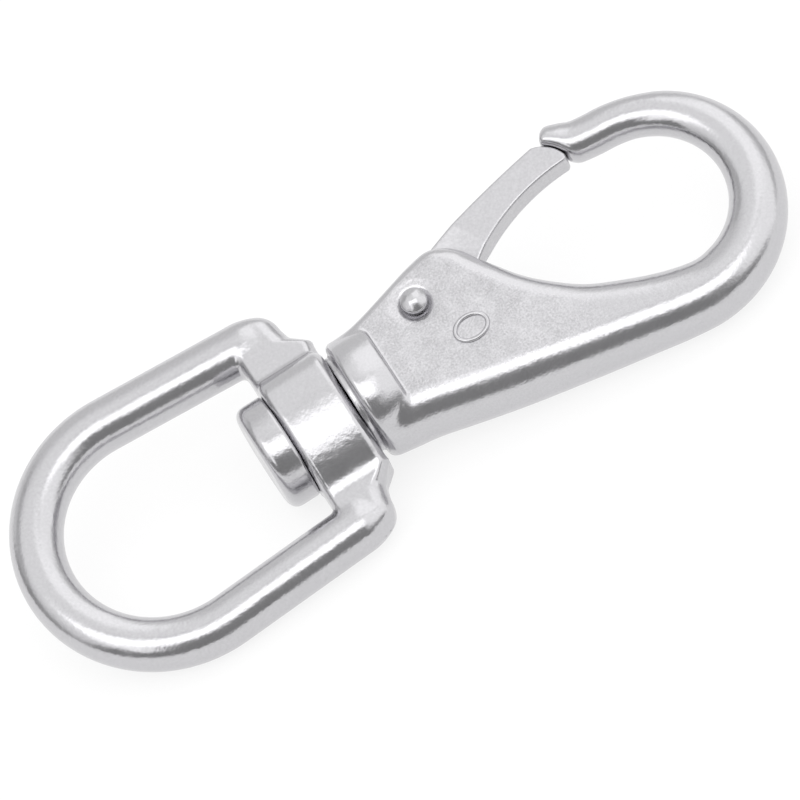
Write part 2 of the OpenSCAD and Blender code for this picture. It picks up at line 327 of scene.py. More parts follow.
# The hook's casting
hookBody = {
    "grid": 0.17,                  # spacing of the mesh
    "box": ((1.9, -11.0, -5.4), (40.0, 12.0, 5.4)),
    "map": ((1.0, -11.5), (41.0, 12.5), 0.07),     # corners and spacing of its flat map
    "rowSteps": 8,                 # curve points from one row to the next
    "cheeksEnd": 20.0,
    "innerSoft": 5,                # rounds of softening on the inner edge
    "loftFrom": 2.75,              # the cheeks start inside the barrel
    "loftBlend": 0.5,
    "barrelX": (2.5, 5.75),
    "barrelR": 4.945,
    "barrelRims": (0.55, 0.25),
    "barrelTaper": (3.1, 0.62),    # where its height starts to drop, and by how much
    "taperLimit": 1.2,             # it goes on this far, as a share of the way to the front
    "spineLeaves": (2.9, 0.175),   # where the spine's round leaves the barrel's, and how fast
    "collarX": (2.02, 3.0),        # thin collar behind the barrel
    "collarR": 4.1,
    "collarRim": 0.12,
    "neckFillet": 0.25,
    "seatR": 1.6,                  # dished seat of the pin's head
    "seatDeep": 0.42,
    "seatEdge": 0.08,
    "halo": 0.08,                  # depth of the rubbed ring round the seat
    "haloR": (1.6, 2.1),           # it fades out between these
    "haloFrom": 1.5,               # it is only this high up, not in the slot
}

# Each row down the hook: outer point, inner point, half thickness and the
# radius of the inner edge
thick = hookSize["halfThick"]
cheekRows = [
    (2.0, -5.0, 2.0, 3.9, thick, 0.8),
    (3.3, -5.3, 3.3, 4.2, thick, 0.8),
    (4.7, -5.52, 4.7, 4.4, thick, 0.8),
    (6.4, -5.78, 6.4, 4.8, thick, 0.8),
    (8.6, -6.34, 8.9, 5.55, thick, 0.8),
    (10.6, -6.85, 11.0, 6.2, thick, 0.9),
    (12.4, -7.28, 12.9, 6.6, thick, 1.15),
    (13.4, -7.5, 14.25, 6.2, thick, 1.45),
    (14.3, -7.7, 15.3, 5.3, thick, 1.65),
    (15.2, -7.88, 16.0, 4.15, thick, 1.75),
    (16.2, -8.08, 16.9, 2.8, thick, 1.8),
    (17.6, -8.36, 18.2, 0.95, thick * 0.98, 1.85),
    (19.4, -8.72, 19.8, -0.65, thick * 0.96, 2.0),
    (21.4, -9.09, 21.8, -2.2, thick * 0.94, 2.25),
    (23.9, -9.55, 24.2, -3.35, thick * 0.91, 2.45),
    (26.6, -10.02, 26.9, -4.4, 2.678, 2.6),
]

bendSize = {
    "centre": (29.4, 0.3),
    "radii": (7.785, 7.95),
    "degrees": (-90, 70, 16),      # first, last and step
    "rodR": 2.6,
    "thins": 0.95,                 # the rod's radius is this much less at the last row
}


def rodRow(x, y, degrees, r):
    # a row across the round rod, whose outer side faces this way. Its inner
    # edge is all but fully round.
    c, s = cosSin(degrees)
    return (x + r * c, y + r * s, x - r * c, y - r * s, r, r * 0.999)


def bendRows():
    b = bendSize
    first, last, step = b["degrees"]
    rows = []
    for a in range(first, last + 1, step):
        c, s = cosSin(a)
        r = b["rodR"] - b["thins"] * (a - first) / (last - first)
        rows.append(rodRow(b["centre"][0] + b["radii"][0] * c, b["centre"][1] + b["radii"][1] * s, a, r))
    return rows


noseRows = [
    rodRow(30.2, 8.28, 83, 1.65),
    rodRow(28.5, 8.45, 84, 1.65),
    rodRow(27.2, 8.65, 76, 1.65),
    rodRow(26.3, 8.97, 70, 1.7),
    rodRow(25.3, 9.28, 76, 1.75),
    rodRow(24.0, 9.45, 83, 1.75),
    rodRow(22.5, 9.6, 84, 1.75),
]


def mapHook():
    # how far each place is inside the hook's outer and inner edge, and the
    # thickness and edge radius there
    steps = hookBody["rowSteps"]
    rows = curveThrough(cheekRows + bendRows() + noseRows, steps)
    flat = FlatMap(*hookBody["map"])
    outer, inner = rows[:, 0:2], rows[:, 2:4]
    dOut, tOut = alongCurve(outer, flat.x, flat.y)
    # over the cheeks only the spine counts, not the nose above them
    end = int((hookBody["cheeksEnd"] - flat.lo[0]) / flat.step)
    dOut[:end], tOut[:end] = alongCurve(outer[:steps * len(cheekRows)], flat.x[:end], flat.y[:end])
    dIn, tIn = alongCurve(inner, flat.x, flat.y)
    dIn = -dIn
    total = np.maximum(np.abs(dOut) + np.abs(dIn), 1e-6)
    at = (tOut * np.abs(dIn) + tIn * np.abs(dOut)) / total
    index = np.arange(len(rows))
    flat.maps["out"] = dOut
    flat.maps["in"] = softened(dIn, hookBody["innerSoft"])
    flat.maps["half"] = np.interp(at, index, rows[:, 4])
    flat.maps["edge"] = np.interp(at, index, rows[:, 5])
    return flat


hookMap = mapHook()
print("hook outline mapped")


def loftField(x, y, z):
    # a round spine on the outside, flat sides with a rounded edge on the inside
    dOut, dIn = hookMap.read("out", x, y), hookMap.read("in", x, y)
    half, edge = hookMap.read("half", x, y), hookMap.read("edge", x, y)
    high = np.abs(z)
    a = half - dOut
    spine = np.where(a > 0, np.hypot(a, z) - half, high - half)
    cheek = roundBox(-dIn, high - half, edge)
    return blendCut(np.maximum(spine, cheek), x - hookBody["loftFrom"], hookBody["loftBlend"])


def neckSection(x, y, high):
    # the barrel's round and the spine's smaller round, wrapped together
    start, drop = hookBody["barrelTaper"]
    leaves, slope = hookBody["spineLeaves"]
    full, x1 = hookBody["barrelR"], hookBody["barrelX"][1]
    big = full - drop * np.clip((x - start) / (x1 - start), 0, hookBody["taperLimit"]) ** 2
    small = hookSize["halfThick"]
    apart = full - small + slope * np.maximum(x - leaves, 0)
    y = np.where(y > 0, y * big / full, y)     # towards the gate only its height drops
    lean = np.clip((big - small) / apart, -0.999, 0.999)
    rise = np.sqrt(1 - lean ** 2)
    k = -lean * high - rise * y
    side = rise * high - lean * y - big
    farEnd = np.hypot(y + apart, high) - small
    return np.where(k < 0, np.hypot(y, high) - big, np.where(k > rise * apart, farEnd, side))


def barrelField(x, y, z):
    x0, x1 = hookBody["barrelX"]
    rim0, rim1 = hookBody["barrelRims"]
    skin = neckSection(x, y, np.abs(z))
    return np.where(x < (x0 + x1) / 2, roundBox(x0 - x, skin, rim0), roundBox(x - x1, skin, rim1))


def collarField(x, y, z):
    x0, x1 = hookBody["collarX"]
    ring = roundBox(x0 - x, np.hypot(y, z) - hookBody["collarR"], hookBody["collarRim"])
    return np.maximum(ring, x - x1)


def seatPin(body, away, high):
    # a rubbed ring and a dished seat for each head of the pin
    b = hookBody
    body = body + b["halo"] * (1 - smoothStep(away, *b["haloR"])) * (high > b["haloFrom"])
    deep = b["seatDeep"]
    ball = (b["seatR"] ** 2 + deep ** 2) / (2 * deep)
    seat = np.hypot(away, high - hookSize["halfThick"] + deep - ball) - ball
    return blendCut(body, seat, b["seatEdge"])


# The slot for the gate's root, measured from the pin
slotSize = {
    "floorDeg": -2,
    "backDeg": 30,          # where the back wall leaves the slot's round end
    "backTop": (-0.6, 9),
    "reach": 9,
    "mouthFrom": 6.65,      # it is wider past the root
    "mouthHalf": 1.25,
    "edge": 0.16,
}


def slotField(x, y):
    # round about the pin, and open between a floor and a back wall
    px, py = fromPin(x, y)
    r, reach = hookSize["slotR"], slotSize["reach"]
    topX, topY = slotSize["backTop"]
    c, s = cosSin(slotSize["backDeg"])
    back = math.atan2(topY - r * s, topX + r * c)
    wall = -((px - topX) * math.sin(back) - (py - topY) * math.cos(back))
    floor = aboveLine(px, py, slotSize["floorDeg"], r)
    wedge = np.maximum.reduce([floor, wall, px - reach, py - reach])
    return np.minimum(np.hypot(px, py) - r, wedge)


def cutSlot(body, x, y, high, away):
    flat = slotField(x, y)
    slot = np.maximum(flat, high - hookSize["slotHalf"])
    mouth = np.maximum.reduce([flat, high - slotSize["mouthHalf"], slotSize["mouthFrom"] - away])
    return blendCut(body, np.minimum(slot, mouth), slotSize["edge"])


# The nose's end, measured from the middle of the gate's round end
noseSize = {
    "gap": 0.035,           # clearance round the gate's tip
    "swingX": (0, 5),
    "swingY": (-3, 0.4),
    "edge": 0.8,            # rounding where the gate's tip meets the nose
    "flatAt": (1.35, 2.6),  # the slanting flat at the end
    "flatDeg": 57,
    "flatHalf": (6, 7),
    "flatRound": 0.2,
    "flatEdge": 0.5,
}


def cutNose(body, x, y, away):
    # what the gate's tip and its swing take out, and the slanting flat
    n = noseSize
    tx, ty = fromTip(x, y)
    reach = math.hypot(*fromPin(*hookSize["tip"])) + hookSize["tipR"] + n["gap"]
    swing = np.maximum.reduce([away - reach, n["swingX"][0] - tx, tx - n["swingX"][1],
                               n["swingY"][0] - ty, ty - n["swingY"][1]])
    tipSeat = np.minimum(np.hypot(tx, ty) - hookSize["tipR"] - n["gap"], swing)
    body = blendCut(body, tipSeat, n["edge"])
    c, s = cosSin(n["flatDeg"])
    tx, ty = tx - n["flatAt"][0], ty - n["flatAt"][1]
    fx, fy = tx * c + ty * s, -tx * s + ty * c
    wide, deep = n["flatHalf"]
    flat = roundBox(np.abs(fx) - wide, np.abs(fy - deep) - deep, n["flatRound"])
    return blendCut(body, flat, n["flatEdge"])


def hookField(x, y, z):
    high = np.abs(z)
    away = np.hypot(*fromPin(x, y))
    body = np.minimum(loftField(x, y, z), collarField(x, y, z))
    body = blendUnion(body, barrelField(x, y, z), hookBody["neckFillet"])
    body = seatPin(body, away, high)
    body = cutSlot(body, x, y, high, away)
    return cutNose(body, x, y, away)


hook = skinOf("hook", hookField, *hookBody["box"], hookBody["grid"])
print("hook shaped:", len(hook.data.polygons), "faces")

# The eye: a round bow, two legs that draw in, and a cross bar on the stud
eyeSize = {
    "grid": 0.17,
    "box": ((-27.6, -12.4, -5.4), (2.6, 12.4, 5.4)),
    "rodR": 2.08,
    "bowR": 9.57,
    "bowX": -15.1,
    "lean": 3.6,                   # degrees that each leg leans in
    "legIn": 1,                    # how far the legs run into the bar
    "bossX": (-3.5, 2.0),          # the cross bar's two faces, at the axis
    "bossEdges": (0.42, 0.52),     # width of the bevels at the bow and at the hook
    "bossRound": 0.12,
    "bevelDeg": 50,
    "bevelBlend": 0.2,
    "bossTop": (1.5, 4.32, 11.3),  # the swell's highest point and its radius
    "wallAt": (4.3, 3.4),          # a point on the swell's steep side
    "wallFaces": (0.966, 0.259),
    "wallRound": 1.5,
    "pad": 1.93,                   # half thickness of the flats beside the swell
    "padThins": (2, 5, 0.2),       # on its gentle side they thin from, to and by this
    "padBlend": 0.55,
    "legBlend": 0.45,
    "boreR": 2.38,
    "boreFrom": -6,                # it runs from behind the bar right through
    "boreEdge": 0.15,
}

# The cross bar's face towards the hook, measured outwards from the legs' middle
barSize = {
    "shoulder": (-2.9, -1.6),      # it steps back between these
    "shoulderSlope": 0.9,
    "endSlope": 0.25,
    "cornerFrom": -0.6,
    "cornerR": 2.7,
    "lug": (-2.95, 0.3, 0.1),      # place, width and height of a small lug at the corner
    "soft": 0.2,
    "edgeGrows": (-3.4, 1.6, 1.3), # the front edge gets rounder: start, width and by how much
    "end": 1.9,
}


def barFace():
    # how far the cross bar reaches towards the hook at each distance from the axis
    e, b = eyeSize, barSize
    lean = math.radians(e["lean"])
    legY = e["bowR"] * math.cos(lean) - (e["bossX"][0] + e["legIn"] - e["bowX"]) * math.tan(lean)
    step, spread = 0.02, 20
    far = np.arange(0, 13, step)
    past = far - legY
    start, stop = b["shoulder"]
    face = e["bossX"][1] - b["shoulderSlope"] * (np.clip(past, start, stop) - start)
    face = face - b["endSlope"] * np.clip(past - stop, 0, 1)
    bend = np.clip(past - b["cornerFrom"], 0, b["cornerR"] - 0.01)
    face = face - (b["cornerR"] - np.sqrt(b["cornerR"] ** 2 - bend ** 2))
    at, wide, tall = b["lug"]
    face = face + tall * np.exp(-((past - at) / wide) ** 2)
    kernel = np.exp(-(np.arange(-spread, spread + 1) * step / b["soft"]) ** 2)
    kernel = kernel / kernel.sum()
    return legY, far, np.convolve(np.pad(face, spread, mode="edge"), kernel, "valid")


eyeLegY, barFar, barOut = barFace()


def ringField(x, far, z):
    # the bow and the legs, one round rod
    e = eyeSize
    dirX, dirY = cosSin(-e["lean"])
    topX, topY = e["bowX"] - e["bowR"] * dirY, e["bowR"] * dirX
    ax, ay = x - topX, far - topY
    t = ax * dirX + ay * dirY
    along = np.clip(t, 0, (e["bossX"][0] + e["legIn"] - topX) / dirX)
    leg = np.hypot(ax - along * dirX, ay - along * dirY)
    bow = np.abs(np.hypot(x - e["bowX"], far) - e["bowR"])
    return np.hypot(np.where(t < 0, bow, leg), z) - e["rodR"]


def barHeight(y, z, far):
    # how far a point is above the bar's upper side: flats at the legs and a
    # swell at the axis, steep on one side. The underside is the same, turned half round.
    e = eyeSize
    ys, zs = np.where(z < 0, -y, y), np.abs(z)
    topAt, top, swellR = e["bossTop"]
    dome = np.hypot(ys - topAt, zs - top + swellR) - swellR
    wall = (ys - e["wallAt"][0]) * e["wallFaces"][0] + (zs - e["wallAt"][1]) * e["wallFaces"][1]
    swell = roundBox(dome, wall, e["wallRound"])
    start, stop, less = e["padThins"]
    pad = e["pad"] - less * smoothStep(-ys, start, stop)
    past = np.maximum(far - eyeLegY, 0)
    flats = zs - np.sqrt(np.maximum(pad ** 2 - past ** 2, 0.01))
    return blendUnion(swell, flats, e["padBlend"])


def barField(x, y, z, far):
    e = eyeSize
    x0, face = e["bossX"][0], np.interp(far, barFar, barOut)
    high = barHeight(y, z, far)
    start, wide, more = barSize["edgeGrows"]
    grow = more * np.clip((far - eyeLegY - start) / wide, 0, 1)
    c, s = cosSin(e["bevelDeg"])
    halves = []
    for end, bevelWide, edge in ((x0 - x, e["bossEdges"][0], e["bossRound"]),
                                 (x - face, e["bossEdges"][1], e["bossRound"] + grow)):
        bevel = end * s + high * c + bevelWide * s
        halves.append(blendCut(roundBox(end, high, edge), -bevel, e["bevelBlend"]))
    bar = np.where(x < (x0 + face) / 2, *halves)
    # past the legs' outer side there is only the rod
    return np.where((far > eyeLegY + barSize["end"]) & (bar < 0.3), 0.3, bar)


def eyeField(x, y, z):
    e = eyeSize
    far = np.abs(y)
    metal = blendUnion(ringField(x, far, z), barField(x, y, z, far), e["legBlend"])
    bore = np.maximum(np.hypot(y, z) - e["boreR"], e["boreFrom"] - x)
    return blendCut(metal, bore, e["boreEdge"])


eye = skinOf("eye", eyeField, *eyeSize["box"], eyeSize["grid"])
print("eye shaped:", len(eye.data.polygons), "faces")

# The gate: a knuckle on the pin and a bar up to the nose
gateSize = {
    "grid": 0.09,
    "box": ((7.5, 0.5, -1.5), (26.5, 10.5, 1.5)),
    "halfThick": 1.15,
    "rootHalf": 0.78,
    "rootR": 5.3,              # the root thickens from here
    "bevelR": 7.35,            # to here, where the bar has its full thickness
    "edge": 0.2,
    "knuckleR": 2.2,
    "holeR": 1.06,
    "holeEdge": 0.05,
    "underDeg": 26,            # its underside climbs from the knuckle
    "underY": 5.1,             # to this level
    "heelDeg": 140,            # its back leaves the knuckle here
    "heel": (11.3, 5.9),
    "crown": ((12.8, 7.0), (24.0, 9.75)),      # ends of the long arc on its back
    "crownR": 88.0,
    "archR": 17.0,             # the hollow under the tip
    "archPast": 2.5,           # how far past the tip's middle it is deepest
    "endRound": 0.5,
}


def crownCentre():
    a, b = (np.array(end) for end in gateSize["crown"])
    h = (b - a) / 2
    across = np.array((h[1], -h[0])) / np.linalg.norm(h)
    return a + h + math.sqrt(gateSize["crownR"] ** 2 - h @ h) * across


crownAt = crownCentre()


def gateBack(x, y):
    # two straight stretches from the knuckle by way of the heel to the crown
    g = gateSize
    c, s = cosSin(g["heelDeg"])
    knee = np.array(hookSize["pin"]) + g["knuckleR"] * np.array((c, s))
    corners = [knee, np.array(g["heel"]), np.array(g["crown"][0])]
    sides = []
    for a, b in zip(corners, corners[1:]):
        d = (b - a) / np.linalg.norm(b - a)
        sides.append(d[0] * (y - a[1]) - d[1] * (x - a[0]))
    return np.minimum(*sides)


def gateTip(x, y):
    # the round end and the hollow under it
    g = gateSize
    tx, ty = fromTip(x, y)
    drop = math.sqrt(g["archR"] ** 2 - g["archPast"] ** 2)
    arch = g["archR"] - np.hypot(tx - g["archPast"], ty + drop)
    nose = np.where(tx > 0, np.hypot(tx, ty) - hookSize["tipR"], -9)     # no end behind the tip
    end = np.where(ty > 0, nose, tx - hookSize["tipR"])
    return roundBox(arch, end, g["endRound"])


def gateOutline(x, y):
    g = gateSize
    px, py = fromPin(x, y)
    under = np.minimum(aboveLine(px, py, g["underDeg"], g["knuckleR"]), g["underY"] - y)
    crown = np.hypot(x - crownAt[0], y - crownAt[1]) - g["crownR"]
    c, s = cosSin(g["underDeg"])
    start = -(px * c + py * s)     # nothing of the bar behind the pin
    bar = np.maximum.reduce([under, gateBack(x, y), crown, gateTip(x, y), start])
    return np.minimum(np.hypot(px, py) - g["knuckleR"], bar)


def gateField(x, y, z):
    g = gateSize
    away = np.hypot(*fromPin(x, y))
    rise = np.clip((away - g["rootR"]) / (g["bevelR"] - g["rootR"]), 0, 1)
    half = g["rootHalf"] + (g["halfThick"] - g["rootHalf"]) * rise
    body = roundBox(gateOutline(x, y), np.abs(z) - half, g["edge"])
    return blendCut(body, away - g["holeR"], g["holeEdge"])


gate = skinOf("gate_bar", gateField, *gateSize["box"], gateSize["grid"])
print("gate shaped:", len(gate.data.polygons), "faces")

# The stud that the eye turns on, headed inside the eye
studSize = {
    "headX": (-6.02, -3.51),
    "headR": 4.35,
    "outerRim": 0.9,
    "innerRim": 0.3,
    "shankR": 2.3,
    "endX": 5.95,
    "sides": 128,
    "nick": 0.02,           # tiny bevel that keeps a corner crisp
}


def makeStud():
    s = studSize
    nick = s["nick"]
    x0, x1 = s["headX"]
    profile = [(x0, nick), (x0, s["headR"] - s["outerRim"] - nick)]
    profile += roundRim(x0, x1, s["headR"], s["outerRim"])
    profile += roundRim(x1, x0, s["headR"], s["innerRim"])[::-1]
    profile += [(x1, s["shankR"] + nick), (x1 + nick, s["shankR"])]
    profile += [(s["endX"] - nick, s["shankR"]), (s["endX"], s["shankR"] - nick)]
    return turned("stud", profile, "x", (0, 0, 0), s["sides"])


# Each head of the pin is a blunt cone on a short round wall
pinSize = {
    "rodR": 1.0,
    "base": 2.6,            # the head starts at this height, inside the dished seat
    "wallR": 1.17,
    "top": 4.1,
    "crown": 0.46,          # radius of the blunt tip
    "slopes": (26, 40),     # degrees at the edge of the tip and above the wall
    "edge": 0.2,            # rounding between cone and wall
    "edgeEnds": 88,         # it stops just short of upright
    "edgeSteps": 6,
    "step": 0.02,
    "sides": 96,
}


def headRows():
    # profile rows down one head, from its tip to the rod
    p = pinSize
    low, steep = p["slopes"]
    flatR = p["wallR"] - p["edge"]
    step, r, z = p["step"], 0.01, p["top"]
    rows = []
    while r < flatR:
        rows.append((z, r))
        over = (r - p["crown"]) / (flatR - p["crown"])
        tilt = low * r / p["crown"] if r < p["crown"] else low + (steep - low) * over
        r, z = r + step, z - step * math.tan(math.radians(tilt))
    c0, s0 = cosSin(steep)
    for k in range(p["edgeSteps"] + 1):
        c, s = cosSin(steep + (p["edgeEnds"] - steep) * k / p["edgeSteps"])
        rows.append((z - p["edge"] * (c0 - c), flatR + p["edge"] * (s - s0)))
    rows.append((p["base"] + 0.01, rows[-1][1] + 0.02))
    rows.append((p["base"], p["rodR"]))
    return rows


def makePin():
    head = headRows()
    profile = [(-h, q) for h, q in head] + head[::-1]
    return turned("pin", profile, "z", (*hookSize["pin"], 0), pinSize["sides"])


# A plain oval ring cast on each cheek
markSize = {
    "at": (12.67, -1.06),
    "long": 1.33,
    "wide": 1.0,
    "line": 0.19,
    "rise": 0.23,
    "steps": (72, 9),       # round the oval and across its line
}


def makeMark(name, side):
    m = markSize
    rows, faces = [], []
    steps, across = m["steps"]
    for k in range(steps):
        a = 2 * math.pi * k / steps
        c, s = math.cos(a), math.sin(a)
        nx, ny = c / m["long"], s / m["wide"]
        size = math.hypot(nx, ny)
        for j in range(across):
            b = math.pi * (j / (across - 1) * 1.2 - 0.1)       # its feet go a little into the cheek
            out = m["line"] * math.cos(b)
            rows.append((m["at"][0] + m["long"] * c + out * nx / size,
                         m["at"][1] + m["wide"] * s + out * ny / size,
                         side * (hookSize["halfThick"] + m["rise"] * math.sin(b))))
    for k in range(steps):
        n = (k + 1) % steps
        for j in range(across):
            i = (j + 1) % across
            quad = (k * across + j, n * across + j, n * across + i, k * across + i)
            faces.append(quad if side > 0 else quad[::-1])
    return meshPiece(name, rows, faces)


stud = makeStud()
pin = makePin()
marks = [makeMark("cast_ring_top", 1), makeMark("cast_ring_under", -1)]

# The gate's spring, wound round the pin inside the slot
springSize = {
    "wireR": 0.175,
    "coilR": 1.295,
    "turns": 2,
    "pitch": 0.38,
    "sides": 10,
    "hookLeg": (3.5, 0.1),     # its length, and its clearance from the slot's floor
    "gateLeg": (3.8, 0.45),    # its length, and how far outside the coil it passes
    "gap": 0.06,               # to the cheek
    "steps": (90, 8),          # along the coil and along each leg
}


def springRoute():
    # a leg, the coil and the other leg, about the pin
    s = springSize
    r = s["coilR"]
    legA = np.array((s["hookLeg"][0], -hookSize["slotR"] + s["wireR"] + s["hookLeg"][1]))
    legB = np.array((s["gateLeg"][0], r + s["gateLeg"][1]))
    aDeg = math.degrees(math.atan2(legA[1], legA[0]) - math.acos(r / np.hypot(*legA)))
    bDeg = math.degrees(math.atan2(legB[1], legB[0]) + math.acos(r / np.hypot(*legB)))
    turnDeg = 360 * s["turns"] + aDeg - bDeg
    tall = s["pitch"] * turnDeg / 360
    low = hookSize["slotHalf"] - s["gap"] - tall - s["wireR"]
    n, legSteps = s["steps"]
    coil = []
    for k in range(n + 1):
        c, d = cosSin(aDeg - turnDeg * k / n)
        coil.append((r * c, r * d, low + tall * k / n))
    coil = np.array(coil)
    startA, endB = np.array((*legA, coil[0][2])), np.array((*legB, coil[-1][2]))
    part = [k / legSteps for k in range(legSteps + 1)]
    first = [startA * (1 - t) + coil[0] * t for t in part[:-1]]
    last = [coil[-1] * (1 - t) + endB * t for t in part[1:]]
    return np.array(first + list(coil) + last)


def makeSpring():
    s = springSize
    route = springRoute()
    centre = np.array((*hookSize["pin"], 0))
    rows = []
    for i, p in enumerate(route):
        d = route[min(i + 1, len(route) - 1)] - route[max(i - 1, 0)]
        d = d / np.linalg.norm(d)
        side = np.cross((0, 0, 1), d)
        side = side / np.linalg.norm(side)
        up = np.cross(d, side)
        for k in range(s["sides"]):
            a = 2 * math.pi * k / s["sides"]
            rows.append(p + s["wireR"] * (side * math.cos(a) + up * math.sin(a)) + centre)
    return meshPiece("spring", rows, tubeFaces(len(route), s["sides"]))


spring = makeSpring()
print("stud, pin and spring made")

# Each finish has its smoothest and roughest patches, the strength of its
# specks, the scale of its grain per metre, and the depth of grain and waves in mm
metalLook = {
    "colour": (0.580, 0.575, 0.592),
    "polished": {"rough": (0.16, 0.23), "speckle": 0.03, "grain": 5000, "bump": 0.006, "waves": 0.017},
    "satin": {"rough": (0.26, 0.35), "speckle": 0.18, "grain": 6500, "bump": 0.010, "waves": 0.012},
    "gate": {"rough": (0.27, 0.34), "speckle": 0.06, "grain": 4600, "bump": 0.006, "waves": 0.010},
    "wire": {"rough": (0.27, 0.34), "speckle": 0.06, "grain": 9000, "bump": 0.004, "waves": 0.004},
    "waveScale": 2100,      # waves left by the polishing wheel, per metre
    "cloudScale": 700,      # slow changes of finish
    "cloudRange": (0.3, 0.7),
    "waveRange": (0.35, 0.65),
    "speckRange": (0.34, 0.66),
    "noiseRough": 0.55,
    "patches": (0.1, 0.4),  # least and most of the slow changes mixed into the flats' grain
    "flatBand": (0.00022, 0.00012),    # metres off the flat, where the satin starts and is full
    "flatFacing": (0.965, 0.992),      # how squarely a place must face up or down for the same
}


def feed(tree, socket, value):
    # a number is set on the socket, and an output is linked to it
    if isinstance(value, bpy.types.NodeSocket):
        tree.links.new(value, socket)
    else:
        socket.default_value = value


def mathNode(tree, operation, *values):
    node = tree.nodes.new("ShaderNodeMath")
    node.operation = operation
    for socket, value in zip(node.inputs, values):
        feed(tree, socket, value)
    return node.outputs["Value"]


def dotNode(tree, vector, direction):
    node = tree.nodes.new("ShaderNodeVectorMath")
    node.operation = "DOT_PRODUCT"
    node.inputs[1].default_value = direction
    tree.links.new(vector, node.inputs[0])
    return node.outputs["Value"]


def mixNode(tree, kind, factor, a, b):
    node = tree.nodes.new("ShaderNodeMix")
    node.data_type = kind
    first, result = {"FLOAT": (2, 0), "RGBA": (6, 2)}[kind]
    for index, value in ((0, factor), (first, a), (first + 1, b)):
        feed(tree, node.inputs[index], value)
    return node.outputs[result]


def rangeNode(tree, value, a, b, lo=0.0, hi=1.0, kind="LINEAR"):
    node = tree.nodes.new("ShaderNodeMapRange")
    node.interpolation_type = kind
    for socket, number in (("From Min", a), ("From Max", b), ("To Min", lo), ("To Max", hi)):
        node.inputs[socket].default_value = number
    tree.links.new(value, node.inputs["Value"])
    return node.outputs["Result"]


def noiseNode(tree, vector, scale, detail):
    node = tree.nodes.new("ShaderNodeTexNoise")
    node.inputs["Scale"].default_value = scale
    node.inputs["Detail"].default_value = detail
    node.inputs["Roughness"].default_value = metalLook["noiseRough"]
    tree.links.new(vector, node.inputs["Vector"])
    return node.outputs["Fac"]


def specks(tree, value, speckle):
    # the grain's dark and bright specks in the metal's colour
    ramp = tree.nodes.new("ShaderNodeValToRGB")
    stops = ramp.color_ramp.elements
    for stop, spot, level in zip(stops, metalLook["speckRange"], (1 - speckle, 1 + speckle)):
        stop.position = spot
        stop.color = [min(c * level, 1) for c in metalLook["colour"]] + [1]
    tree.links.new(value, ramp.inputs["Fac"])
    return ramp.outputs["Color"]


def flatSides(tree, coords):
    # one on the cheeks' flats and nought on what is rounded
    height = dotNode(tree, coords.outputs["Object"], axisZ)
    height = mathNode(tree, "ABSOLUTE", mathNode(tree, "SUBTRACT", height, float(origin @ axisZ)))
    off = mathNode(tree, "SUBTRACT", height, hookSize["halfThick"] / 1000)
    off = mathNode(tree, "ABSOLUTE", off)
    facing = mathNode(tree, "ABSOLUTE", dotNode(tree, coords.outputs["Normal"], axisZ))
    onFlat = rangeNode(tree, off, *metalLook["flatBand"])
    level = rangeNode(tree, facing, *metalLook["flatFacing"])
    return mathNode(tree, "MULTIPLY", onFlat, level)


def steel(name, look, flatLook=None):
    # flatLook is the finish of the hook's flat sides, which the wheel missed
    mat = bpy.data.materials.new(name)
    mat.use_nodes = True
    tree = mat.node_tree
    bsdf = tree.nodes["Principled BSDF"]
    bsdf.inputs["Metallic"].default_value = 1.0
    coords = tree.nodes.new("ShaderNodeTexCoord")
    vector = coords.outputs["Object"]
    fine = noiseNode(tree, vector, (flatLook or look)["grain"], 3)
    waves = noiseNode(tree, vector, metalLook["waveScale"], 2)
    broad = noiseNode(tree, vector, metalLook["cloudScale"], 2)
    colour = specks(tree, fine, look["speckle"])
    rough = rangeNode(tree, broad, *metalLook["cloudRange"], *look["rough"])
    if flatLook:
        flat = flatSides(tree, coords)
        share = rangeNode(tree, waves, *metalLook["waveRange"], *metalLook["patches"])
        patches = mixNode(tree, "FLOAT", share, fine, broad)
        colour = mixNode(tree, "RGBA", flat, colour, specks(tree, patches, flatLook["speckle"]))
        flatRough = rangeNode(tree, broad, *metalLook["cloudRange"], *flatLook["rough"])
        rough = mixNode(tree, "FLOAT", flat, rough, flatRough)
    tree.links.new(colour, bsdf.inputs["Base Color"])
    tree.links.new(rough, bsdf.inputs["Roughness"])
    normal = None
    for height, depth in ((waves, look["waves"]), (fine, look["bump"])):
        relief = tree.nodes.new("ShaderNodeBump")
        relief.inputs["Distance"].default_value = depth / 1000
        tree.links.new(height, relief.inputs["Height"])
        if normal:
            tree.links.new(normal, relief.inputs["Normal"])
        normal = relief.outputs["Normal"]
    tree.links.new(normal, bsdf.inputs["Normal"])
    return mat


polished = steel("polishedSteel", metalLook["polished"])
cast = steel("castSteel", metalLook["polished"], metalLook["satin"])
satin = steel("satinSteel", metalLook["gate"])
wire = steel("springWire", metalLook["wire"])

for piece, body, node, slot, mat in (
        (hook, "hook", "hook_body", "hook_steel", cast),
        (eye, "eye", "swivel_eye", "eye_steel", polished),
        (gate, "gate", "gate", "gate_steel", satin),
        (stud, "hook", "swivel_stud", "stud_steel", polished),
        (pin, "hook", "gate_pin", "stud_steel", polished),
        (spring, "hook", "gate_spring", "spring_wire", wire)):
    piece.data.materials.append(mat)
    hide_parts(node)
    if piece is not spring:
        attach(piece, body)
for mark in marks:
    mark.data.materials.append(polished)
    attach(mark, "hook")
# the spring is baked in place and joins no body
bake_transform(spring)
print("metal applied")

